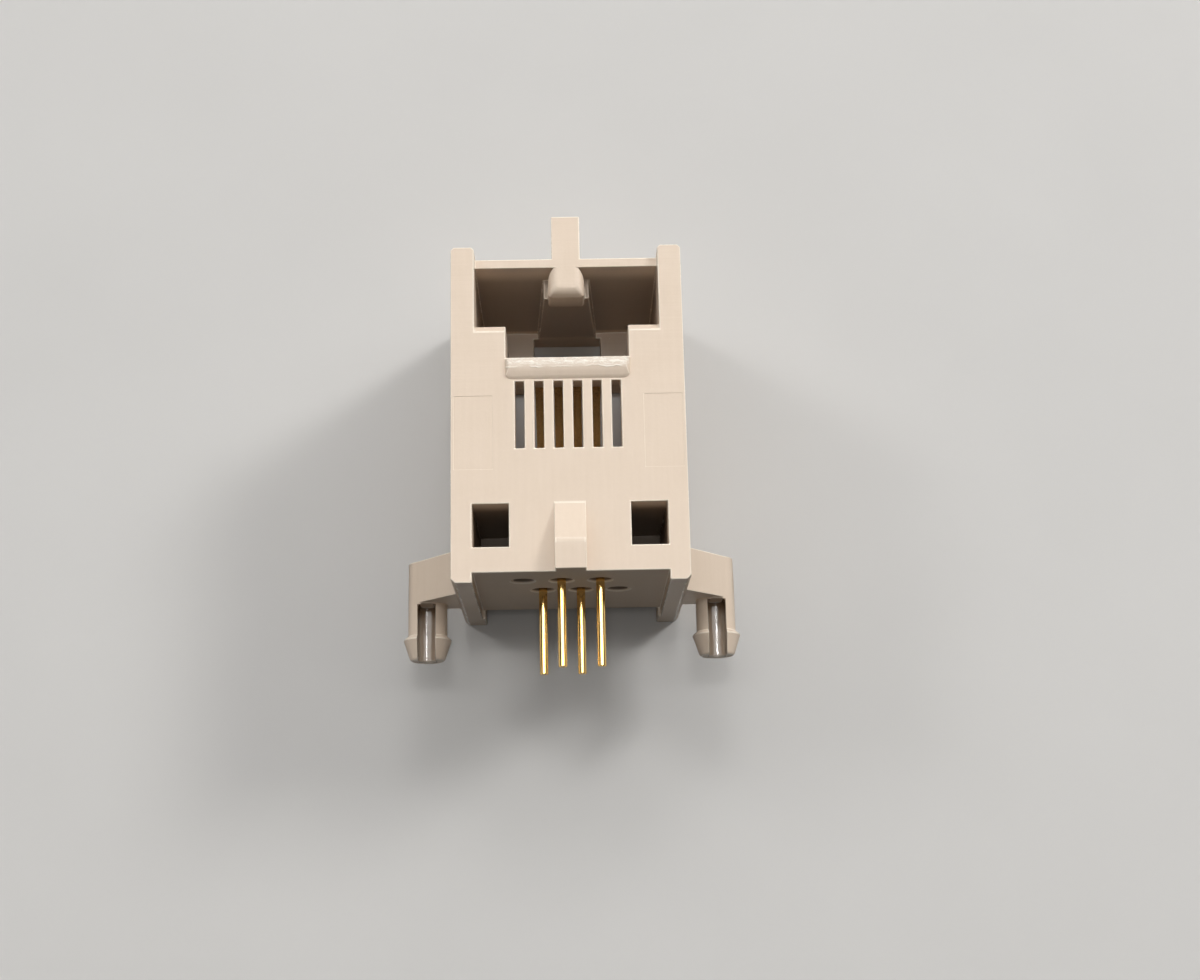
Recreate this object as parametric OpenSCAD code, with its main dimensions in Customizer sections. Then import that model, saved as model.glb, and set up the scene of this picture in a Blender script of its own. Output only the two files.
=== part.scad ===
// Side-entry modular jack for a printed board: six positions, four contact wires.
// It lies on its mouth. X runs across, Y runs from the board pins to the latch side,
// Z runs up from the mouth to the rear face. Heights are above the board seat,
// depths are below the rear face.

/* [Body] */
// Width over the side walls
body_w = 12.35; // [11.8:0.05:14]
// Depth from the rear face to the mouth
body_depth = 12.5; // [12:0.1:16]
// How far the side walls stand above the top wall
wall_rise = 0.54; // [0.2:0.02:1.5]
// Chamfer on the long edges of the side walls
edge_chamfer = 0.15; // [0.05:0.01:0.25]
// Chamfer on the outer edges of the board rails
foot_chamfer = 0.22; // [0.1:0.01:0.3]

/* [Plug cavity] */
// Width of the plug cavity
cavity_w = 9.84; // [9.6:0.02:10.2]
// Height of the plug cavity
cavity_h = 6.7; // [6.4:0.05:7.2]
// Height of the cavity floor above the board
cavity_floor = 5.8; // [5.2:0.05:6.6]
// Thickness of the rear wall
rear_wall = 1.2; // [0.8:0.05:1.6]
// Underside of the front sill above the board
sill_bottom = 2.4; // [1.4:0.1:3.4]
// Drop from the cavity floor to the top of the front sill
sill_drop = 1.2; // [1.0:0.05:1.6]
// Lead-in chamfer round the mouth
lead_in = 0.35; // [0.1:0.05:0.5]

/* [Latch side] */
// Thickness of the two guide ledges above the plug
ledge_t = 1.48; // [1.2:0.02:1.8]
// Width of the notch between the ledges
notch_w = 6.52; // [6.2:0.02:7]
// Height of the latch pocket above the ledges
pocket_h = 3.37; // [3:0.05:4]
// Thickness of the latch stops at the mouth
stop_t = 1.5; // [1.2:0.05:2]
// Width of the slot for the plug's lever
lever_slot_w = 3.98; // [3.6:0.02:4.4]
// Web left above the lever slot
slot_web = 0.37; // [0.2:0.01:0.6]
// Thickness of the top wall
top_wall = 0.5; // [0.4:0.02:0.9]
// Setback of the top wall from the rear face
top_setback = 0.5; // [0.2:0.05:1]
// Chamfer on the rear edge of the ledges
ledge_chamfer = 0.4; // [0.2:0.02:0.6]

/* [Latch rib and nose] */
// Width of the rib under the top wall at its rear end
rib_rear_w = 2.48; // [2.2:0.02:2.8]
// Width of the rib at the latch stops
rib_front_w = 3.46; // [3:0.02:3.7]
// Drop of the rib below the top wall at its rear end
rib_drop = 1.1; // [0.8:0.05:1.3]
// Width of the nose at the rear end of the top wall
nose_w = 1.96; // [1.7:0.02:2.1]
// Drop of the nose below the top wall
nose_drop = 1.55; // [1.35:0.05:1.8]
// Length of the nose in depth
nose_len = 1.84; // [1.4:0.02:2.4]
// Rounding of the nose's rear edges
nose_round = 0.58; // [0.3:0.02:0.7]
// Radius of the nose's lower corners
nose_corner = 0.2; // [0.1:0.02:0.3]
// Width of the fin on top of the top wall
fin_w = 1.54; // [1.2:0.02:1.8]
// Rise of the fin above the top wall
fin_rise = 2.45; // [1.6:0.05:3]
// Flat length of the fin before its ramp
fin_land = 0.9; // [0.5:0.05:1.5]
// Length of the fin's ramp
fin_ramp = 3.6; // [2:0.1:5]

/* [Rear comb] */
// Spacing of the contact positions
contact_pitch = 1.02; // [1:0.01:1.1]
// Width of a comb slot
comb_slot_w = 0.49; // [0.4:0.01:0.6]
// Height of the lower end of the comb slots above the board
comb_bottom = 7.12; // [6.9:0.02:7.6]
// Length of the comb slots
comb_h = 3.66; // [3:0.05:3.9]
// Height of the web above the comb, which carries the round bar
bar_h = 1.28; // [1.1:0.02:1.5]
// Rise of the round bar over the rear face
bar_rise = 0.25; // [0.2:0.05:0.6]
// Land between the round bar and the ends of the slots
bar_land = 0.1; // [0.04:0.01:0.2]
// Height of the bar's crest above its lower edge
bar_crest = 0.72; // [0.6:0.02:0.8]
// Length of the round bar
bar_len = 6.6; // [6.2:0.05:7]
// Radius of the bar's lower corners
bar_corner = 0.4; // [0.2:0.02:0.5]
// Radius of the bar's upper corners
bar_top_corner = 0.22; // [0.1:0.02:0.26]
// Rounding of the bar's two ends
bar_end_round = 0.34; // [0.1:0.02:0.4]

/* [Rear face] */
// Space between the two core pockets
core_gap = 6.34; // [6.2:0.02:6.6]
// Width of a core pocket
core_w = 1.9; // [1.5:0.05:2.1]
// Height of the core pockets above the board
core_bottom = 1.87; // [1.6:0.05:2.2]
// Height of a core pocket
core_h = 2.28; // [1.8:0.05:2.5]
// Depth of the core pockets
core_depth = 8; // [5:0.5:9]
// Width of the shallow pads beside the comb
pad_w = 2.05; // [1.6:0.05:2.2]
// Height of the pads above the board
pad_bottom = 6.0; // [5.6:0.1:6.4]
// Length of the pads
pad_h = 4.0; // [3:0.1:4.5]
// Depth of the pads
pad_sink = 0.06; // [0.02:0.01:0.1]

/* [Snap tooth] */
// Width of the snap tooth on the rear face
tooth_w = 1.6; // [1.3:0.02:2]
// Height where the tooth starts to rise
tooth_start = 4.17; // [3.6:0.05:4.8]
// Height of the tooth's crest above the board
tooth_crest = 2; // [1.6:0.05:2.4]
// Rise of the crest over the rear face
tooth_rise = 0.8; // [0.6:0.05:1.5]
// Rise of the tooth at the board edge
tooth_toe = 0.75; // [0.3:0.05:1]

/* [Pin block] */
// Relief of the pin face above the board
pin_relief = 0.52; // [0.3:0.02:0.8]
// Width of the two rails that sit on the board
rail_w = 1.09; // [0.8:0.02:1.2]
// Depth of the pin block
block_depth = 10.55; // [10:0.05:10.8]
// Depth of the first row of pins
row_depth = 2.42; // [2.1:0.02:2.8]
// Spacing of the two rows of pins
row_pitch = 2.54; // [2.3:0.02:2.8]
// Diameter of the funnel at each pin hole
funnel_d = 1.3; // [1:0.01:1.4]
// Depth of the funnel
funnel_h = 1.1; // [0.5:0.05:1.4]

/* [Contact wires] */
// Diameter of the contact wire
wire_d = 0.46; // [0.38:0.01:0.5]
// Clearance round the wire in its hole and groove
wire_fit = 0.05; // [0.02:0.01:0.06]
// Extra room for the wire's bend
bend_fit = 0.03; // [0.02:0.01:0.05]
// Length of the tails below the board seat
tail_len = 4.06; // [2.5:0.02:5]
// Depth of the wire's centre line below the cavity floor
run_drop = 0.6; // [0.4:0.05:0.8]
// Radius of the bend above the tail
bend_r = 0.6; // [0.45:0.05:0.9]
// Radius of the hairpin at the mouth
hairpin_r = 0.5; // [0.4:0.02:0.6]
// Setback of the hairpin's centre from the front of the pin block
hairpin_set = 0.55; // [0.4:0.05:0.9]
// Slope of the contact spring
spring_angle = 30; // [26:0.5:31]
// Length of the broken edge at the end of a tail
tail_point = 0.05; // [0.05:0.05:0.4]
// Gap from the spring's tip to the rear wall
tip_gap = 0.15; // [0.1:0.05:0.4]

/* [Board pegs] */
// Spacing of the two board pegs
peg_spacing = 15.86; // [15.6:0.02:17]
// Depth of the pegs below the rear face
peg_depth = 7.25; // [6.8:0.05:7.8]
// Diameter of the peg's shaft
peg_d = 2.14; // [1.9:0.02:2.3]
// Diameter of the peg's barb
barb_d = 2.64; // [2.4:0.02:2.9]
// Diameter of the peg's tip
tip_d = 1.96; // [1.6:0.02:2.1]
// Chamfer round the peg's tip
tip_chamfer = 0.12; // [0.05:0.01:0.25]
// Length of the peg below the board seat
peg_len = 2.88; // [2.6:0.02:3.8]
// Length of the taper from the barb to the tip
barb_taper = 1.15; // [0.9:0.05:1.4]
// Length of the barb's shoulder
barb_shoulder = 0.2; // [0.15:0.05:0.4]
// Underside of the peg's arm above the board seat
arm_bottom = 0.23; // [0.1:0.01:0.4]
// Top of the peg's arm above the board seat, at the peg
arm_top = 2.52; // [2:0.02:4]
// Further rise of the arm's top at the side wall
arm_rise = 0.12; // [0.02:0.02:0.3]
// Draft on the arm's outer side
arm_draft = 0.08; // [0.04:0.01:0.12]
// How far the arm's sides lie inside the peg's round outline
arm_inset = 0.04; // [0.02:0.01:0.2]
// Width of the groove along the peg
groove_w = 0.96; // [0.7:0.02:1]
// Depth of the groove
groove_depth = 1.35; // [1:0.05:1.5]
// Radius of the hollow bottom of the groove
groove_bow = 0.8; // [0.6:0.05:1.5]
// Height of the peg left whole below the arm, above the groove
groove_cap = 0.05; // [0.05:0.05:0.6]
// Radius of the groove's upper corners
groove_corner = 0.24; // [0.1:0.02:0.3]

/* [Hidden] */
$fn = 48;

positions = 6;
first_wired = 1;
// How far pieces of one moulding run into each other, and cuts run past a face
overlap = 0.3;
margin = 1;
// How far the nose runs into the rib, and the bar past the edge of the notch
lap = 0.03;
plastic = "#cdbfa9";
gold = "#c99a3a";

wire_r = wire_d / 2;
way_r = wire_r + wire_fit;
peg_r = peg_d / 2;
barb_r = barb_d / 2;
peg_x = peg_spacing / 2;

cavity_top = cavity_floor + cavity_h;
ledge_top = cavity_top + ledge_t;
top_inner = ledge_top + pocket_h;
top_outer = top_inner + top_wall;
wall_top = top_outer + wall_rise;
stop_depth = body_depth - stop_t;
slot_top = top_inner - slot_web;
comb_top = comb_bottom + comb_h;
notch_bottom = comb_top + bar_h;
fin_top = top_outer + fin_rise;
sill_top = cavity_floor - sill_drop;
nose_depth = top_setback + nose_len;

run_y = cavity_floor - run_drop;
hairpin_depth = block_depth - hairpin_set;
spring_depth = hairpin_depth + hairpin_r * sin(spring_angle);
spring_end = rear_wall + tip_gap + wire_r;
spring_len = (spring_depth - spring_end) / cos(spring_angle);

// Middle of the whole part in Y, so that the part stands over its origin
low_y = -max(tail_len, peg_len);
high_y = max(fin_top, wall_top);
mid_y = (low_y + high_y) / 2;

// Height in Z of a depth below the rear face
function up(depth) = body_depth - depth;

// Place across the part of contact position i, counted from 0
function contact_x(i) = (i - (positions - 1) / 2) * contact_pitch;

// Depth of the pin hole of contact position i: the two rows take turns
function pin_depth(i) = row_depth + (i % 2) * row_pitch;

// Depth where the wire of position i leaves its bend for the run to the mouth
function turn_depth(i) = pin_depth(i) + bend_r;

// Draws its children and their mirror image on the other side
module both_sides() {
  children();
  mirror([1, 0, 0]) children();
}

// Block across the whole symmetric width w, between two heights and two depths
module slab(w, y0, y1, d0, d1) {
  translate([-w / 2, y0, up(d1)]) cube([w, y1 - y0, d1 - d0]);
}

// Block on the right side only
module side_slab(x0, x1, y0, y1, d0, d1) {
  translate([x0, y0, up(d1)]) cube([x1 - x0, y1 - y0, d1 - d0]);
}

// Profile drawn in Y and Z, extruded across the symmetric width w
module across(w) {
  translate([-w / 2, 0, 0]) rotate([90, 0, 90]) linear_extrude(height = w) children();
}

// Profile drawn in X and Z, extruded from height y0 to y1
module along_y(y0, y1) {
  translate([0, y1, 0]) rotate([90, 0, 0]) linear_extrude(height = y1 - y0) children();
}

// Round bar along Y from height y0 to y1
module bar_y(r, y0, y1) {
  translate([0, y0, 0]) rotate([-90, 0, 0]) cylinder(r = r, h = y1 - y0);
}

// Section of the right side wall, with chamfered corners at the latch side and at the board
module wall_section() {
  inner = cavity_w / 2;
  outer = body_w / 2;
  c = edge_chamfer;
  polygon([
    [inner, 0],
    [outer - foot_chamfer, 0],
    [outer, foot_chamfer],
    [outer, wall_top - c],
    [outer - c, wall_top],
    [inner + c, wall_top],
    [inner, wall_top - c],
  ]);
}

// Two side walls, which run from the board rails to the latch side
module side_walls() {
  both_sides() linear_extrude(height = body_depth) wall_section();
}

// Solid block under the plug cavity, with the front sill
module pin_block() {
  w = cavity_w + 2 * overlap;
  slab(w, pin_relief, cavity_floor, 0, block_depth);
  slab(w, sill_bottom, sill_top, block_depth - overlap, body_depth);
}

// Rear wall from the pin face up to the ledge tops
module rear_plate() {
  slab(cavity_w + 2 * overlap, pin_relief, ledge_top, 0, rear_wall);
}

// Guide ledges above the plug, one on each side of the notch
module ledges() {
  both_sides()
    side_slab(notch_w / 2, cavity_w / 2 + overlap, cavity_top, ledge_top, 0, body_depth);
}

// Front plate with the two latch stops beside the lever slot
module latch_stops() {
  difference() {
    slab(cavity_w + 2 * overlap, cavity_top, top_inner + top_wall / 2, stop_depth, body_depth);
    slab(notch_w, cavity_top - margin, ledge_top, stop_depth - margin, body_depth + margin);
    slab(lever_slot_w, cavity_top - margin, slot_top, stop_depth - margin, body_depth + margin);
  }
}

// Thin wall that closes the latch side
module top_plate() {
  slab(cavity_w + 2 * overlap, top_inner, top_outer, top_setback, body_depth);
}

// Rib under the top wall: it grows wider and shallower towards the latch stops
module latch_rib() {
  intersection() {
    across(rib_front_w + margin)
      polygon([
        [top_inner - rib_drop, up(nose_depth)],
        [top_outer - top_wall / 2, up(nose_depth)],
        [top_outer - top_wall / 2, up(stop_depth + overlap)],
        [slot_top + slot_web / 2, up(stop_depth + overlap)],
        [slot_top, up(stop_depth)],
      ]);
    along_y(top_inner - rib_drop - margin, top_outer)
      polygon([
        [-rib_rear_w / 2, up(nose_depth)],
        [rib_rear_w / 2, up(nose_depth)],
        [rib_front_w / 2, up(stop_depth + overlap)],
        [-rib_front_w / 2, up(stop_depth + overlap)],
      ]);
  }
}

// Nose at the rear end of the rib: arched at the top wall, rounded at its rear edges
module latch_nose() {
  half = nose_w / 2;
  band = half - nose_round;
  bottom = top_inner - nose_drop;
  arch_y = top_outer - top_wall / 2 - half;
  front = up(nose_depth + lap);
  rear = up(top_setback);
  intersection() {
    translate([0, 0, front]) linear_extrude(height = rear - front) {
      translate([0, arch_y]) circle(r = half);
      translate([-half, bottom + nose_corner]) square([nose_w, arch_y - bottom - nose_corner]);
      translate([nose_corner - half, bottom]) square([nose_w - 2 * nose_corner, arch_y - bottom]);
      for (s = [-1, 1])
        translate([s * (half - nose_corner), bottom + nose_corner]) circle(r = nose_corner);
    }
    along_y(bottom - margin, top_outer) {
      translate([-band, front]) square([2 * band, rear - front]);
      translate([-half, front]) square([nose_w, rear - nose_round - front]);
      for (s = [-1, 1]) translate([s * band, rear - nose_round]) circle(r = nose_round);
    }
    across(nose_w + margin) {
      translate([bottom + nose_round, front])
        square([top_outer - bottom - nose_round, rear - front]);
      translate([bottom, front])
        square([top_outer - bottom, rear - nose_round - front]);
      translate([bottom + nose_round, rear - nose_round]) circle(r = nose_round);
    }
  }
}

// Fin on the outside of the top wall, with a ramp towards the mouth
module top_fin() {
  across(fin_w)
    polygon([
      [top_outer - top_wall / 2, up(top_setback)],
      [fin_top, up(top_setback)],
      [fin_top, up(top_setback + fin_land)],
      [top_outer, up(top_setback + fin_land + fin_ramp)],
      [top_outer - top_wall / 2, up(top_setback + fin_land + fin_ramp)],
    ]);
}

// Round bar on the rear face, between the comb and the notch: its ends and corners are rounded
module comb_bar() {
  low = comb_top + bar_land;
  high = notch_bottom + lap;
  half = bar_len / 2;
  root = up(rear_wall / 2);
  crest = body_depth + bar_rise + lap;
  r = (bar_rise * bar_rise + bar_crest * bar_crest) / (2 * bar_rise);
  intersection() {
    across(bar_len + margin) translate([low + bar_crest, body_depth + bar_rise - r]) circle(r = r);
    translate([0, 0, root]) linear_extrude(height = crest - root) {
      translate([-half, low + bar_corner])
        square([bar_len, high - low - bar_corner - bar_top_corner]);
      translate([bar_corner - half, low]) square([bar_len - 2 * bar_corner, bar_corner + lap]);
      translate([bar_top_corner - half, high - bar_top_corner - lap])
        square([bar_len - 2 * bar_top_corner, bar_top_corner + lap]);
      for (s = [-1, 1]) {
        translate([s * (half - bar_corner), low + bar_corner]) circle(r = bar_corner);
        translate([s * (half - bar_top_corner), high - bar_top_corner]) circle(r = bar_top_corner);
      }
    }
    along_y(low - margin, high + margin) {
      translate([-half, root]) square([bar_len, crest - bar_end_round - root]);
      translate([bar_end_round - half, root])
        square([bar_len - 2 * bar_end_round, crest - root]);
      for (s = [-1, 1])
        translate([s * (half - bar_end_round), crest - bar_end_round]) circle(r = bar_end_round);
    }
  }
}

// Wedge on the rear face that snaps behind the edge of a panel
module snap_tooth() {
  across(tooth_w)
    polygon([
      [tooth_start, body_depth],
      [tooth_crest, body_depth + tooth_rise],
      [pin_relief, body_depth + tooth_toe],
      [pin_relief, body_depth - rear_wall / 2],
      [tooth_start, body_depth - rear_wall / 2],
    ]);
}

// Arm of the right board peg: its rear side slopes at 45 degrees onto the round peg
module peg_arm() {
  root = body_w / 2 - overlap;
  reach = peg_r - arm_inset;
  touch = reach * cos(45);
  peg_z = up(peg_depth);
  along_y(arm_bottom, arm_top + margin)
    polygon([
      [root, peg_z + 2 * touch + peg_x - root],
      [peg_x + touch, peg_z + touch],
      [peg_x, peg_z],
      [peg_x, peg_z - reach],
      [root, peg_z - reach],
    ]);
}

// Turned outline of the right board peg, from its tip and barb up through the arm
module peg_shaft() {
  barb_y = barb_taper - peg_len;
  translate([peg_x, 0, up(peg_depth)]) rotate([-90, 0, 0]) rotate_extrude()
    polygon([
      [0, -peg_len],
      [tip_d / 2 - tip_chamfer, -peg_len],
      [tip_d / 2, tip_chamfer - peg_len],
      [barb_r, barb_y],
      [peg_r, barb_y + barb_shoulder],
      [peg_r, arm_top + margin],
      [0, arm_top + margin],
    ]);
}

// The right peg and its arm, cut to the arm's sloped top and drafted outer side
module board_peg() {
  root = body_w / 2 - overlap;
  outer = peg_x + peg_r;
  intersection() {
    union() {
      peg_arm();
      peg_shaft();
    }
    linear_extrude(height = body_depth)
      polygon([
        [root, -peg_len - margin],
        [outer + margin, -peg_len - margin],
        [outer + margin, arm_bottom - overlap],
        [outer + lap, arm_bottom - overlap],
        [outer + lap - arm_draft, arm_top],
        [root, arm_top + arm_rise],
      ]);
  }
}

// Groove along the rear side of the right peg: straight sides, a hollow bottom, round upper corners
module peg_groove() {
  floor_z = up(peg_depth) + peg_r - groove_depth;
  low_end = -peg_len - margin;
  high_end = arm_bottom - groove_cap;
  half = groove_w / 2;
  intersection() {
    along_y(low_end - margin, high_end + margin) translate([peg_x, floor_z]) {
      translate([0, groove_bow]) circle(r = groove_bow);
      translate([-groove_bow, groove_bow]) square([2 * groove_bow, barb_d]);
    }
    translate([peg_x, 0, floor_z - margin]) linear_extrude(height = barb_d + 2 * margin) {
      translate([-half, low_end]) square([groove_w, high_end - groove_corner - low_end]);
      translate([groove_corner - half, low_end])
        square([groove_w - 2 * groove_corner, high_end - low_end]);
      for (s = [-1, 1])
        translate([s * (half - groove_corner), high_end - groove_corner]) circle(r = groove_corner);
    }
  }
}

// Quarter bend of the wire of position i, drawn with radius r
module wire_bend(i, r) {
  translate([contact_x(i), run_y - bend_r, up(turn_depth(i))]) rotate([90, 0, 90])
    rotate_extrude(angle = 90) translate([bend_r, 0]) circle(r = r);
}

// Hole, funnel, bend and floor groove for contact position i
module contact_way(i) {
  funnel_r = funnel_d / 2;
  front = up(block_depth + margin);
  translate([contact_x(i), 0, up(pin_depth(i))]) {
    bar_y(way_r, pin_relief - margin, run_y - bend_r + bend_fit);
    translate([0, pin_relief, 0]) rotate([-90, 0, 0])
      cylinder(r1 = funnel_r, r2 = 0, h = funnel_h * funnel_r / (funnel_r - way_r));
  }
  wire_bend(i, way_r + bend_fit);
  translate([contact_x(i), run_y, front])
    linear_extrude(height = up(turn_depth(i)) + bend_fit - front) {
      circle(r = way_r);
      translate([-way_r, 0]) square([2 * way_r, cavity_floor - run_y + margin]);
    }
}

// Slots of the comb through the rear wall
module comb_slots() {
  for (i = [0 : positions - 1])
    translate([contact_x(i), 0, 0])
      slab(comb_slot_w, comb_bottom, comb_top, -bar_rise - margin, rear_wall + overlap);
}

// Notch through the rear wall, between the ledges
module rear_notch() {
  slab(notch_w, notch_bottom, ledge_top + margin, -margin, rear_wall + margin);
}

// Chamfer along the rear edge of the ledges
module ledge_edges() {
  across(cavity_w)
    polygon([
      [ledge_top - ledge_chamfer, body_depth],
      [ledge_top, body_depth - ledge_chamfer],
      [ledge_top + margin, body_depth - ledge_chamfer],
      [ledge_top + margin, body_depth + margin],
      [ledge_top - ledge_chamfer, body_depth + margin],
    ]);
}

// Lead-in chamfers at the mouth, on the cavity's sides and under the ledges
module mouth_lead_in() {
  half = cavity_w / 2;
  both_sides() along_y(sill_top, cavity_top)
    polygon([
      [half - margin, 0],
      [half, lead_in],
      [half + lead_in, 0],
      [half, -margin],
      [half - margin, -margin],
    ]);
  across(cavity_w)
    polygon([
      [cavity_top - margin, 0],
      [cavity_top, lead_in],
      [cavity_top + lead_in, 0],
      [cavity_top, -margin],
      [cavity_top - margin, -margin],
    ]);
}

// Pockets that core out the pin block from the rear
module core_pockets() {
  both_sides()
    side_slab(core_gap / 2, core_gap / 2 + core_w, core_bottom, core_bottom + core_h,
              -margin, core_depth);
}

// Shallow pads on the rear face beside the comb
module rear_pads() {
  outer = body_w / 2 - edge_chamfer;
  both_sides() side_slab(outer - pad_w, outer, pad_bottom, pad_bottom + pad_h, -margin, pad_sink);
}

// Relief between the board rails, up to the front feet
module rail_relief() {
  slab(body_w - 2 * rail_w, -margin, pin_relief, -margin, block_depth);
}

// One moulded housing
module housing() {
  color(plastic) translate([0, -mid_y, 0]) difference() {
    union() {
      side_walls();
      pin_block();
      rear_plate();
      ledges();
      latch_stops();
      top_plate();
      latch_rib();
      latch_nose();
      top_fin();
      comb_bar();
      snap_tooth();
      both_sides() board_peg();
    }
    rail_relief();
    rear_notch();
    ledge_edges();
    comb_slots();
    core_pockets();
    rear_pads();
    mouth_lead_in();
    both_sides() peg_groove();
    for (i = [0 : positions - 1]) contact_way(i);
  }
}

// Contact wire of position i: board tail, run to the mouth, hairpin and sloped spring
module contact_wire(i) {
  color(gold) translate([0, -mid_y, 0]) {
    wire_bend(i, wire_r);
    translate([contact_x(i), 0, 0]) {
      translate([0, 0, up(pin_depth(i))]) bar_y(wire_r, tail_point - tail_len, run_y - bend_r);
      translate([0, run_y, up(hairpin_depth)])
        cylinder(r = wire_r, h = hairpin_depth - turn_depth(i));
      translate([0, -tail_len, up(pin_depth(i))]) rotate([-90, 0, 0])
        cylinder(r1 = wire_r - tail_point / 2, r2 = wire_r, h = tail_point);
      translate([0, run_y + hairpin_r, up(hairpin_depth)]) rotate([-spring_angle, 0, 0]) {
        rotate([90, 0, 90])
          rotate_extrude(start = 180 + spring_angle, angle = 180 - spring_angle)
            translate([hairpin_r, 0]) circle(r = wire_r);
        translate([0, hairpin_r, 0]) cylinder(r = wire_r, h = spring_len);
        translate([0, hairpin_r, spring_len]) sphere(r = wire_r);
      }
    }
  }
}

module contact_wire_1() { contact_wire(first_wired); }
module contact_wire_2() { contact_wire(first_wired + 1); }
module contact_wire_3() { contact_wire(first_wired + 2); }
module contact_wire_4() { contact_wire(first_wired + 3); }

housing();
contact_wire_1();
contact_wire_2();
contact_wire_3();
contact_wire_4();
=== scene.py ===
# Looks of the modular jack: a moulded housing with soft edges and four gold contact wires
import math

import bpy
import numpy as np
from mathutils import Matrix, Vector


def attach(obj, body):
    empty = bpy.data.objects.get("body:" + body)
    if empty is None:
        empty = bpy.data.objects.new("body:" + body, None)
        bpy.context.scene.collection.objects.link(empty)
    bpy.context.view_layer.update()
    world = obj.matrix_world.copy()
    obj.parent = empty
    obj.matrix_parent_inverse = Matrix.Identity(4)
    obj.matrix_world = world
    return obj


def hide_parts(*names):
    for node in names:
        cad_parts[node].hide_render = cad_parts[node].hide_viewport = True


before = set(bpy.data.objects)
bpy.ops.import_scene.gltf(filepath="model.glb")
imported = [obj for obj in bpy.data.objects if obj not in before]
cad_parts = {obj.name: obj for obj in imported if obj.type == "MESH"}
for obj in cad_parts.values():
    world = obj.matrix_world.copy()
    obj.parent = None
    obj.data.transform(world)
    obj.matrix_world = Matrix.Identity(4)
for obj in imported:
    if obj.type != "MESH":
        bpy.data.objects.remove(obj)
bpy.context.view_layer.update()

# Lengths are in millimetres where no other unit is given, and the scene is in metres
MM = 0.001

# Places taken over from the part's source: heights are in Y, depths from the rear face in Z
SEAT_Y = -8.12
REAR_Z = 12.5
PIN_FACE_Y = SEAT_Y + 0.52
PIN_FACE_HALF = 5.0
FLOOR_Y = SEAT_Y + 5.8
COMB_TOP_Y = SEAT_Y + 10.78
COMB_HALF = 3.0
BAR_LOW_Y = COMB_TOP_Y + 0.1
BAR_LINE_Y = BAR_LOW_Y + 0.62
BAR_HIGH_Y = COMB_TOP_Y + 1.28
BEND_Y = SEAT_Y + 4.6
PEG_X = 7.93
PEG_Z = REAR_Z - 7.25
PEG_SIDE_X = 6.6
GROOVE_FLOOR_Z = PEG_Z - 0.28
GROOVE_HALF = 0.48
GROOVE_END_Y = SEAT_Y + 0.13
CORE_X = 4.12
CORE_Y = SEAT_Y + 3.01
CORE_HALF = 1.2
POCKET_LOW_Y = SEAT_Y + 12.6
POCKET_HIGH_Y = SEAT_Y + 17.45
POCKET_HALF = 5.0
NOSE_Y = SEAT_Y + 16.3
NOSE_HALF = 1.25
NOSE_SIDE_X = 1.1
NOSE_LOW_Z = 9.9
TOOTH_HALF = 0.7
CREST_Z = REAR_Z + 0.78
PAD_X = 5.0
PAD_Y = SEAT_Y + 8.0
PAD_HALF = 2.1
PAD_SINK = 0.06

# Depths under the rear face at which the painted shade starts and is full, or starts and ends
CORE_DEPTHS = (0.3, 2.0)
POCKET_DEPTHS = (1.2, 2.8)
POCKET_ENDS = (10.4, 10.8)
BORE_DEPTHS = (1.0, 7.0)
SLOT_DEPTHS = (0.12, 1.5)
NOSE_DEPTHS = (2.0, 2.2)

# Specks of dust: cells in a millimetre, radius in cells, and the share of cells left empty
DUST_CELLS = 1.15
DUST_RADIUS = (0.022, 0.04)
DUST_EMPTY = (0.86, 0.88)

# Camera fitted to the corners of the jack in the photograph, with its clipping in metres
SENSOR_WIDTH = 36.0
LENS = 51.586
CLIPPING = (0.002, 20.0)
CAMERA_PLACE = (0.013, -25.589, 98.840)
CAMERA_RIGHT = (0.99969, -0.021516, 0.012528)
CAMERA_UP = (0.017706, 0.968126, 0.249837)
CAMERA_BACK = (-0.017504, -0.249537, 0.968207)

# Lamps, in metres and watts: name, way from the jack, size and power
LAMP_DISTANCE = 0.6
LAMPS = (
    # Wide soft boxes over the latch side, and a smaller lamp for the slope of the tooth
    ("latch_side_box", (0.05, 0.78, 0.62), (0.9, 0.4), 0.55),
    ("latch_lamp", (0.02, 0.73, 0.68), (0.2, 0.14), 0.6),
    ("high_box", (0.05, 0.55, 0.83), (0.9, 0.4), 0.22),
    # Lamps overhead: the long one shows in the tails, the thinnest one in the grooves of the pegs
    ("top_lamp", (0.06, 0.165, 1.0), (0.9, 0.1), 1.0),
    ("overhead_lamp", (0.0, -0.1, 1.0), (0.07, 0.24), 0.36),
    ("spark_lamp", (0.02, 0.144, 0.99), (0.08, 0.012), 0.17),
    # Small lamps at the sides, which give the tooth its shadow
    ("right_lamp", (0.74, 0.52, 0.60), (0.13, 0.13), 1.62),
    ("left_lamp", (-0.74, 0.45, 0.62), (0.13, 0.13), 0.7),
    # Weak light from the board side
    ("board_side_lamp", (-0.3, -0.85, 0.4), (0.9, 0.5), 0.25),
)
ROOM_COLOUR = (1.0, 0.97, 0.93, 1.0)
ROOM_STRENGTH = 0.03

# Floor and the round wall about it, in metres
FLOOR_SIZE = 4.0
WALL_RADIUS = 1.6
WALL_HEIGHT = 0.5
WALL_SIDES = 96

# Distances from the jack at which the floor's own glow starts and is full
GLOW_START = 50.0
GLOW_FULL = 260.0
SEEN_RAYS = ("Is Camera Ray", "Is Glossy Ray", "Is Transmission Ray")

# Widths of the soft edges, each held to a share of the room beside the edge
EDGE_WIDTH = 0.065
SOFT_WIDTH = 0.14
EDGE_SHARE = 0.3
EDGE_SEGMENTS = 3

# How far in from the mouth and the rear face the edges of the pin block's bores are rounded
BORE_SEEN = 0.6

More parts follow.
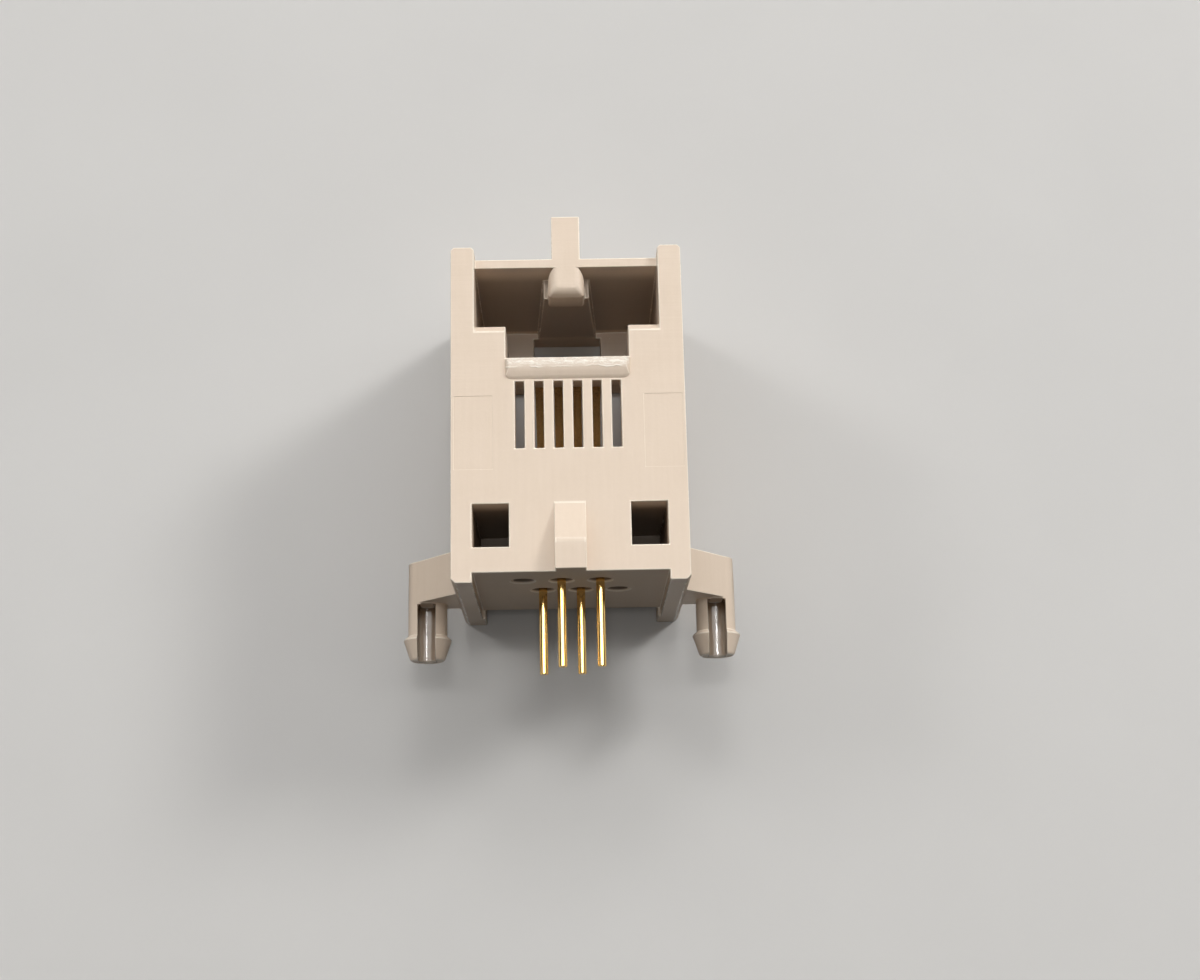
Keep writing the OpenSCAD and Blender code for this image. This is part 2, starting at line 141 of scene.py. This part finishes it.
# Angles from which an edge is sharp, for short edges and for long ones
SHARP_ANGLE = math.radians(27.0)
CREASE_ANGLE = math.radians(19.0)
CREASE_LENGTH = 1.0

# Most that a run of sharp edges turns from one edge to the next
RUN_ANGLE = math.radians(35.0)

# Points along an edge from which the room beside it is measured
POINT_SPACING = 0.12
MOST_POINTS = 40
FIRST_POINT = 0.08
LAST_POINT = 0.92
AHEAD_SHARE = 0.55
AMPLE_ROOM = 9.0

# Merging and shading of the housing's faces
MERGE_DISTANCE = 0.0005
FLAT_ANGLE = math.radians(0.3)
SMOOTH_ANGLE = math.radians(35.0)
FLAT_WEIGHT = 60

# Share of the pads' depth that is taken back, and how near a corner lies to their floor
PAD_RISE = 0.6
PAD_NEAR = 0.005


def colour(red, green, blue):
    """A colour written as it looks on a screen, from 0 to 255, as linear light."""
    def linear(level):
        share = level / 255.0
        return share / 12.92 if share <= 0.04045 else ((share + 0.055) / 1.055) ** 2.4
    return (linear(red), linear(green), linear(blue), 1.0)


# Finish of the moulded plastic
BODY_DEEP = colour(224, 204, 182)
BODY_PALE = colour(233, 214, 194)
# Colour of the painted shade in the recesses and on the pin face
RECESS_SHADE = colour(112, 94, 76)
# Colour of the painted highlight on the soft edges
EDGE_HIGHLIGHT = colour(253, 241, 224)
# Colour of the torn skin on the bar, which also serves as its painted highlight
TORN_SKIN_AND_HIGHLIGHT = colour(255, 247, 234)
DUST = colour(250, 243, 232)
GROOVE_SHADE = colour(112, 90, 68)
PLASTIC_ROUGHNESS = 0.46
PLASTIC_IOR = 1.5

# Finish of the gold plating, in linear light
GOLD_DEEP = (0.88, 0.55, 0.17, 1.0)
GOLD_BRIGHT = (1.0, 0.71, 0.29, 1.0)
# Paler gold for the springs, painted light that brightens them
GOLD_PAINTED_LIGHT = (1.0, 0.82, 0.45, 1.0)
GOLD_WORN = (0.62, 0.36, 0.1, 1.0)
# Colour of the painted shade on the springs
SPRING_SHADE_GOLD = (0.22, 0.12, 0.04, 1.0)
GOLD_ROUGHNESS = 0.1

# Finish of the floor and the wall
STUDIO_DEEP = colour(204, 202, 199)
STUDIO_PALE = colour(210, 208, 205)
STUDIO_DIM = colour(60, 59, 57)
STUDIO_ROUGHNESS = 0.85
BLACK = (0.0, 0.0, 0.0, 1.0)


def set_up(thing, right, up, back, place):
    """Puts a camera or a lamp at a place, in metres, turned by its own three directions."""
    turned = Matrix((right, up, back)).transposed().to_4x4()
    turned.translation = place
    thing.matrix_world = turned
    bpy.context.scene.collection.objects.link(thing)


def photo_camera():
    data = bpy.data.cameras.new("photo_camera")
    data.sensor_fit = "HORIZONTAL"
    data.sensor_width = SENSOR_WIDTH
    data.lens = LENS
    data.clip_start, data.clip_end = CLIPPING
    camera = bpy.data.objects.new("photo_camera", data)
    set_up(camera, CAMERA_RIGHT, CAMERA_UP, CAMERA_BACK, Vector(CAMERA_PLACE) * MM)
    bpy.context.scene.camera = camera


# One socket of a material: sums on it add Math nodes, and make() adds any other node
class Value:
    def __init__(self, tree, socket=None):
        self.tree = tree
        self.socket = socket

    def make(self, kind, settings=None, inputs=None, output=0):
        node = self.tree.nodes.new(kind)
        for name, setting in (settings or {}).items():
            setattr(node, name, setting)
        for key, given in (inputs or {}).items():
            self.feed(node.inputs[key], given)
        return Value(self.tree, node.outputs[output])

    def feed(self, socket, given):
        if isinstance(given, Value):
            self.tree.links.new(given.socket, socket)
        else:
            socket.default_value = given

    # Another output of the same node
    def beside(self, output):
        return Value(self.tree, self.socket.node.outputs[output])

    def sum_of(self, operation, *terms):
        return self.make("ShaderNodeMath", {"operation": operation}, dict(enumerate(terms)))

    def __add__(self, other):
        return self.sum_of("ADD", self, other)

    __radd__ = __add__

    def __sub__(self, other):
        return self.sum_of("SUBTRACT", self, other)

    def __rsub__(self, other):
        return self.sum_of("SUBTRACT", other, self)

    def __mul__(self, other):
        return self.sum_of("MULTIPLY", self, other)

    __rmul__ = __mul__

    def __pow__(self, other):
        return self.sum_of("POWER", self, other)

    def __rpow__(self, other):
        return self.sum_of("POWER", other, self)

    def __abs__(self):
        return self.sum_of("ABSOLUTE", self)

    # 0 below low, 1 above high, smooth between them
    def ease(self, low, high):
        return self.make(
            "ShaderNodeMapRange",
            {"interpolation_type": "SMOOTHSTEP"},
            {"Value": self, "From Min": low, "From Max": high},
        )

    # 1 between the two edges, with soft ends of the given width
    def between(self, low, high, soft=0.05):
        return self.ease(low - soft, low + soft) * (1 - self.ease(high - soft, high + soft))

    # 1 up to the given distance from 0, to both sides, and 0 past a soft end
    def within(self, distance, soft=0.1):
        return 1 - abs(self).ease(distance, distance + soft)


# A new material with its Principled shader; the place on the piece is given in millimetres
class Finish:
    def __init__(self, name):
        self.material = bpy.data.materials.new(name)
        self.material.use_nodes = True
        self.tree = self.material.node_tree
        self.shader = self.tree.nodes["Principled BSDF"]
        self.start = Value(self.tree)
        place = self.start.make("ShaderNodeTexCoord", output="Object")
        self.place = self.start.make(
            "ShaderNodeVectorMath", {"operation": "SCALE"}, {0: place, "Scale": 1.0 / MM}
        )
        axes = self.start.make("ShaderNodeSeparateXYZ", None, {0: self.place})
        self.x, self.y, self.z = (axes.beside(axis) for axis in range(3))

    def set(self, **inputs):
        for name, given in inputs.items():
            self.start.feed(self.shader.inputs[name.replace("_", " ")], given)

    # Place stretched by a factor for each axis
    def stretched(self, factors):
        return self.start.make(
            "ShaderNodeMapping",
            {"vector_type": "POINT"},
            {"Vector": self.place, "Scale": factors},
        )

    # Noise from 0 to 1, the same along all axes or with a factor for each axis
    def noise(self, scale=1.0, detail=2.0, roughness=0.5, factors=None):
        place = self.stretched(factors) if factors else self.place
        return self.start.make(
            "ShaderNodeTexNoise",
            {"noise_dimensions": "3D"},
            {"Vector": place, "Scale": scale, "Detail": detail, "Roughness": roughness},
        )

    # Such noise moved to lie about 0
    def uneven(self, **noise):
        return self.noise(**noise) - 0.5

    def mix(self, share, first, second):
        return self.start.make(
            "ShaderNodeMix",
            {"data_type": "RGBA", "blend_type": "MIX", "clamp_factor": True},
            {0: share, 6: first, 7: second},
            2,
        )

    # Height in millimetres becomes the surface's normal
    def bump(self, height, strength):
        return self.start.make(
            "ShaderNodeBump", None, {"Strength": strength, "Distance": MM, "Height": height}
        )


# Satin moulded plastic with flow marks, fine grain, dust and smoother soft edges, with painted
# shade in the recesses and painted highlights on the soft edges and the bar
def moulded_plastic():
    f = Finish("moulded_plastic")
    depth = REAR_Z - f.z
    clouds = f.uneven(scale=0.42, detail=3.0, roughness=0.55)
    streaks = f.uneven(factors=(4.0, 0.25, 4.0), detail=3.0)
    combed = f.uneven(factors=(0.3, 11.0, 11.0), roughness=0.6)
    combed = combed * f.y.ease(COMB_TOP_Y - 2.0, COMB_TOP_Y + 1.0)
    grain = f.uneven(scale=7.0, detail=3.0, roughness=0.6)
    pores = f.uneven(scale=26.0)
    tone = 0.5 + clouds * 0.9 + streaks * 0.6 + grain * 0.35 + combed * 0.7
    body = f.mix(tone, BODY_DEEP, BODY_PALE)

    # Painted shade in the square holes, the latch pocket, the bores, the slots and on the pin face
    core = (abs(f.x) - CORE_X).within(CORE_HALF) * depth.ease(*CORE_DEPTHS)
    core = core * (f.y - CORE_Y).within(CORE_HALF)
    pocket = f.y.between(POCKET_LOW_Y, POCKET_HIGH_Y) * depth.ease(*POCKET_DEPTHS)
    pocket = pocket * (1 - depth.ease(*POCKET_ENDS)) * f.x.within(POCKET_HALF)
    bore = f.y.between(PIN_FACE_Y + 0.1, PIN_FACE_Y + 3.0)
    bore = bore * depth.between(*BORE_DEPTHS, soft=0.2) * f.x.within(COMB_HALF)
    slot = f.y.between(COMB_TOP_Y - 0.1, COMB_TOP_Y)
    slot = slot * depth.between(*SLOT_DEPTHS, soft=0.06) * f.x.within(COMB_HALF)
    pin_face = f.y.between(PIN_FACE_Y - 0.05, PIN_FACE_Y + 0.05, soft=0.02)
    pin_face = pin_face * f.x.within(PIN_FACE_HALF)
    painted_shade = core * 0.8 + pocket * 0.5 + bore * 0.95 + slot * 0.7 + pin_face * 0.2
    body = f.mix(painted_shade, body, RECESS_SHADE)

    # Painted highlight on the soft edges, weaker on the crest of the tooth and on the nose, and
    # none in the square holes
    edge = f.start.make("ShaderNodeAttribute", {"attribute_name": "soft_edge"}, output="Fac")
    crest = f.z.ease(CREST_Z - 0.18, CREST_Z - 0.08) * f.x.within(TOOTH_HALF - 0.02, soft=0.08)
    nose = f.x.within(NOSE_SIDE_X) * f.y.between(NOSE_Y - NOSE_HALF, NOSE_Y + 0.9)
    nose = nose * (1 - depth.ease(*NOSE_DEPTHS))
    rim = edge * (1 - core) * (1 - crest * 0.8) * (1 - nose * 0.8)
    body = f.mix(rim * 0.75, body, EDGE_HIGHLIGHT)

    # Rough line left by the mould along the round bar, and the torn skin above it, whose paler
    # colour is partly the skin and partly a painted highlight on the bar's upper half
    wander = f.uneven(factors=(1.1, 0.0, 0.0), detail=3.0) * 0.5
    line = (f.y - BAR_LINE_Y - wander).within(0.01, soft=0.05)
    on_bar = f.z.ease(REAR_Z + 0.06, REAR_Z + 0.12)
    on_bar = on_bar * f.y.between(BAR_LOW_Y, BAR_HIGH_Y, soft=0.03)
    torn_and_highlit = on_bar * (f.y - wander).ease(BAR_LINE_Y - 0.14, BAR_LINE_Y + 0.3)
    scuffs = f.noise(factors=(3.0, 7.0, 7.0), detail=5.0, roughness=0.7)
    scuffed = scuffs.ease(0.46, 0.6) * torn_and_highlit
    seam = line * on_bar * f.noise(factors=(0.7, 0.0, 0.0), detail=1.0).ease(0.45, 0.55)
    body = f.mix(scuffed * 0.6 + torn_and_highlit * 0.4 + seam * 0.6, body, TORN_SKIN_AND_HIGHLIGHT)

    # Sparse specks of dust
    cells = f.start.make(
        "ShaderNodeTexVoronoi", {"feature": "F1"}, {"Vector": f.place, "Scale": DUST_CELLS}
    )
    chance = f.start.make("ShaderNodeSeparateColor", None, {0: cells.beside("Color")})
    speck = (1 - cells.ease(*DUST_RADIUS)) * chance.ease(*DUST_EMPTY)
    body = f.mix(speck * 0.8, body, DUST)

    # Polished groove of each peg, with painted shade in it that is deeper towards its upper end
    groove = (abs(f.x) - PEG_X).within(GROOVE_HALF + 0.01, soft=0.03)
    groove = groove * f.z.ease(GROOVE_FLOOR_Z - 0.04, GROOVE_FLOOR_Z - 0.02)
    groove = groove * (1 - f.y.ease(GROOVE_END_Y, GROOVE_END_Y + 0.04))
    groove_top = groove * f.y.ease(GROOVE_END_Y - 0.9, GROOVE_END_Y - 0.2)
    body = f.mix(groove * 0.62 + groove_top * 0.35, body, GROOVE_SHADE)

    rough = PLASTIC_ROUGHNESS + clouds * 0.16 + grain * 0.12 - edge * 0.2
    rough = rough + pin_face * 0.15 - groove * 0.37 + scuffed * 0.1
    height = grain * 0.005 + pores * 0.002 + streaks * 0.004 + combed * 0.004
    height = height * (1 - groove) * (1 - pin_face * 0.6) + seam * 0.04 + scuffed * 0.03
    relief = f.bump(height, strength=0.55)
    f.set(Base_Color=body, Roughness=rough, Normal=relief, IOR=PLASTIC_IOR)
    return f.material


# Drawn wire with gold plating: bright tails, and duller springs with fine lines, a paler gold
# painted on as light, and painted shade towards the comb top
def gold_plating():
    f = Finish("gold_plating")
    tail = 1 - f.y.ease(BEND_Y - 0.2, BEND_Y + 0.2)
    spring = 1 - tail
    lines = f.noise(factors=(30.0, 0.8, 30.0)) * tail + f.noise(factors=(30.0, 30.0, 0.8)) * spring
    cloud = f.noise(scale=1.3, detail=3.0, roughness=0.6)
    worn = f.noise(scale=5.0, detail=4.0, roughness=0.65).ease(0.56, 0.72)
    streaked = (1 - lines.ease(0.36, 0.56)) * spring
    # Painted shade on the springs, darker towards the comb top and along the fine lines
    spring_shade = f.y.ease(COMB_TOP_Y - 2.0, COMB_TOP_Y - 0.2) * (0.3 + streaked * 0.3)
    metal = f.mix(cloud, GOLD_DEEP, GOLD_BRIGHT)
    # Paler gold on the springs: painted light
    metal = f.mix(spring * 0.7, metal, GOLD_PAINTED_LIGHT)
    metal = f.mix(worn * 0.25 + streaked * 0.25, metal, GOLD_WORN)
    metal = f.mix(spring_shade, metal, SPRING_SHADE_GOLD)
    rough = GOLD_ROUGHNESS + spring * 0.65 + worn * 0.06
    rough = rough + (lines - 0.5) * 0.08 + (cloud - 0.5) * 0.04
    ridges = f.bump((lines - 0.5) * 0.002, strength=0.4)
    f.set(Base_Color=metal, Roughness=rough, Metallic=1.0, Normal=ridges)
    return f.material


# Floor and wall: pale where they are seen, dim in what they throw back, and aglow far away
def pale_studio():
    f = Finish("pale_studio")
    pale = f.mix(f.noise(scale=0.08, detail=3.0), STUDIO_DEEP, STUDIO_PALE)
    rays = f.start.make("ShaderNodeLightPath")
    seen = sum(rays.beside(kind) for kind in SEEN_RAYS)
    distance = (f.x ** 2 + f.y ** 2 + f.z ** 2) ** 0.5
    far = distance.ease(GLOW_START, GLOW_FULL) * seen
    near = f.mix(seen, STUDIO_DIM, pale)
    f.set(
        Base_Color=f.mix(far, near, BLACK),
        Roughness=STUDIO_ROUGHNESS,
        Emission_Color=f.mix(far, BLACK, pale),
        Emission_Strength=1.0,
    )
    return f.material


def only(piece):
    """Deselects everything, then selects one piece and makes it the active one."""
    bpy.ops.object.select_all(action="DESELECT")
    piece.select_set(True)
    bpy.context.view_layer.objects.active = piece


def rescale(piece, factor):
    only(piece)
    piece.scale = (factor,) * 3
    bpy.ops.object.transform_apply(location=False, rotation=False, scale=True)


def apply_modifier(piece, kind, name, **settings):
    only(piece)
    modifier = piece.modifiers.new(name, kind)
    for key, setting in settings.items():
        setattr(modifier, key, setting)
    bpy.ops.object.modifier_apply(modifier=name)


def sharp_edges(mesh):
    """Numbers of the sharp edges, with both ends of each, in the mesh's own units."""
    sides = {}
    for face in mesh.polygons:
        for key in face.edge_keys:
            sides.setdefault(key, []).append(face.normal)
    found, ends = [], []
    for edge in mesh.edges:
        normals = sides.get(tuple(sorted(edge.vertices)), [])
        one, two = (mesh.vertices[v].co for v in edge.vertices)
        limit = CREASE_ANGLE if (one - two).length > CREASE_LENGTH else SHARP_ANGLE
        if len(normals) == 2 and normals[0].angle(normals[1], 0.0) > limit:
            found.append(edge.index)
            ends.append([one[:], two[:]])
    return found, np.array(ends)


def even_along_runs(mesh, found, width):
    """One width, the least, for all the edges of each smooth run of sharp edges."""
    group = list(range(len(found)))

    def head(i):
        while group[i] != i:
            i = group[i]
        return i

    at_corner = {}
    for i, number in enumerate(found):
        for corner in mesh.edges[number].vertices:
            at_corner.setdefault(corner, []).append(i)
    for corner, here in at_corner.items():
        place = mesh.vertices[corner].co
        ways = []
        for i in here:
            one, two = mesh.edges[found[i]].vertices
            ways.append(mesh.vertices[two if one == corner else one].co - place)
        for a in range(len(here)):
            for b in range(a):
                if ways[a].angle(-ways[b], math.pi) < RUN_ANGLE:
                    group[head(here[a])] = head(here[b])
    runs = np.array([head(i) for i in range(len(found))])
    least = np.full(len(found), AMPLE_ROOM)
    np.minimum.at(least, runs, width)
    return least[runs]


def room_beside(ends):
    """Least distance from each edge to the other sharp edges beside it, not ahead of it."""
    first, last = ends[:, 0], ends[:, 1]
    run = last - first
    length = np.linalg.norm(run, axis=1)
    way = run / length[:, None]
    room = np.full(len(ends), AMPLE_ROOM)
    for i in range(len(ends)):
        count = max(2, min(MOST_POINTS, int(length[i] / POINT_SPACING) + 2))
        steps = np.linspace(FIRST_POINT, LAST_POINT, count)
        for point in first[i] + steps[:, None] * run[i]:
            share = np.clip(((point - first) * run).sum(1) / length ** 2, 0.0, 1.0)
            gap = first + share[:, None] * run - point
            far = np.linalg.norm(gap, axis=1)
            far[i] = AMPLE_ROOM
            ahead = np.abs(gap @ way[i]) > AHEAD_SHARE * far
            far[ahead] = AMPLE_ROOM
            room[i] = min(room[i], far.min())
    return room


def edge_widths(ends):
    """Width of each soft edge: wider on pegs, bar, crest and nose, none inside the pin block."""
    x, y, z = ends.mean(axis=1).T
    x = np.abs(x)
    on_peg = (x > PEG_SIDE_X) & (y < SEAT_Y + 0.2)
    on_bar = (z > REAR_Z + 0.02) & (y > COMB_TOP_Y)
    on_crest = (z > CREST_Z) & (x < TOOTH_HALF)
    on_nose = (x < NOSE_SIDE_X) & (z > NOSE_LOW_Z) & (np.abs(y - NOSE_Y) < NOSE_HALF)
    width = np.where(on_peg | on_bar | on_crest | on_nose, SOFT_WIDTH, EDGE_WIDTH)
    width = np.minimum(width, EDGE_SHARE * room_beside(ends))
    hidden = (x < COMB_HALF + 0.2) & (y > PIN_FACE_Y + 0.2) & (y < FLOOR_Y - 0.1)
    hidden = hidden & (z > BORE_SEEN) & (z < REAR_Z - BORE_SEEN)
    width[hidden] = 0.0
    return width


# Copy of the housing in millimetres, with its triangles joined to flat faces
def housing_copy():
    piece = bpy.data.objects.new("housing_moulding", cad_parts["housing"].data.copy())
    bpy.context.scene.collection.objects.link(piece)
    rescale(piece, 1.0 / MM)
    bpy.ops.object.mode_set(mode="EDIT")
    bpy.ops.mesh.select_all(action="SELECT")
    bpy.ops.mesh.customdata_custom_splitnormals_clear()
    bpy.ops.mesh.remove_doubles(threshold=MERGE_DISTANCE)
    bpy.ops.mesh.dissolve_limited(angle_limit=FLAT_ANGLE)
    bpy.ops.object.mode_set(mode="OBJECT")
    return piece


# Brings the floors of the two flat pads nearer to the rear face
def raise_pads(mesh):
    for corner in mesh.vertices:
        place = corner.co
        on_pad = abs(abs(place.x) - PAD_X) < PAD_HALF and abs(place.y - PAD_Y) < PAD_HALF
        if on_pad and abs(place.z - REAR_Z + PAD_SINK) < PAD_NEAR:
            place.z += PAD_SINK * PAD_RISE


# Rounds the sharp edges, and marks the new faces of the soft edges for the finish
def round_edges(piece, finish):
    mesh = piece.data
    found, ends = sharp_edges(mesh)
    weights = np.zeros(len(mesh.edges), np.float32)
    weights[found] = even_along_runs(mesh, found, edge_widths(ends)) / SOFT_WIDTH
    layer = mesh.attributes.new("bevel_weight_edge", "FLOAT", "EDGE")
    layer.data.foreach_set("value", weights)

    # The second slot shows which faces the modifier adds
    mesh.materials.clear()
    mesh.materials.append(finish)
    mesh.materials.append(finish)
    apply_modifier(
        piece, "BEVEL", "soft_edges", limit_method="WEIGHT", width=SOFT_WIDTH,
        segments=EDGE_SEGMENTS, use_clamp_overlap=False, loop_slide=False, material=1,
    )
    mesh = piece.data
    marks = np.zeros(len(mesh.polygons), np.int32)
    mesh.polygons.foreach_get("material_index", marks)
    rim = mesh.attributes.new("soft_edge", "FLOAT", "FACE")
    rim.data.foreach_set("value", marks.astype(np.float32))
    mesh.polygons.foreach_set("material_index", np.zeros_like(marks))
    mesh.materials.pop(index=1)


# The housing with its edges rounded as a mould leaves them
def soft_edged_housing(finish):
    piece = housing_copy()
    raise_pads(piece.data)
    round_edges(piece, finish)
    only(piece)
    bpy.ops.object.shade_smooth_by_angle(angle=SMOOTH_ANGLE)
    apply_modifier(piece, "WEIGHTED_NORMAL", "flat_faces", weight=FLAT_WEIGHT, keep_sharp=True)
    rescale(piece, MM)
    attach(piece, "root")
    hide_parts("housing")


# Soft studio light from all the lamps, in a dim room
def studio_light():
    for name, way, size, power in LAMPS:
        data = bpy.data.lights.new(name, "AREA")
        data.shape = "RECTANGLE"
        data.size, data.size_y = size
        data.energy = power
        back = Vector(way).normalized()
        right = (Vector((1.0, 0.0, 0.0)) - back * back.x).normalized()
        lamp = bpy.data.objects.new(name, data)
        set_up(lamp, right, back.cross(right), back, back * LAMP_DISTANCE)

    world = bpy.data.worlds.new("dim_room")
    bpy.context.scene.world = world
    world.use_nodes = True
    room = world.node_tree.nodes["Background"]
    room.inputs["Color"].default_value = ROOM_COLOUR
    room.inputs["Strength"].default_value = ROOM_STRENGTH


def studio_floor():
    bpy.ops.object.select_all(action="DESELECT")
    bpy.ops.mesh.primitive_plane_add(size=FLOOR_SIZE, location=(0.0, 0.0, 0.0))
    floor = bpy.context.object
    floor.name = "studio_floor"
    bpy.ops.object.select_all(action="DESELECT")
    bpy.ops.mesh.primitive_cylinder_add(
        vertices=WALL_SIDES, radius=WALL_RADIUS, depth=WALL_HEIGHT, end_fill_type="NOTHING",
        location=(0.0, 0.0, WALL_HEIGHT / 2.0),
    )
    wall = bpy.context.object
    wall.name = "studio_wall"
    bpy.ops.object.transform_apply(location=True)
    finish = pale_studio()
    for piece in (floor, wall):
        piece.data.materials.append(finish)


photo_camera()
studio_light()
studio_floor()
soft_edged_housing(moulded_plastic())
plating = gold_plating()
for number in (1, 2, 3, 4):
    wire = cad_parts[f"contact_wire_{number}"]
    wire.data.materials.clear()
    wire.data.materials.append(plating)

bpy.context.scene.view_settings.view_transform = "Standard"
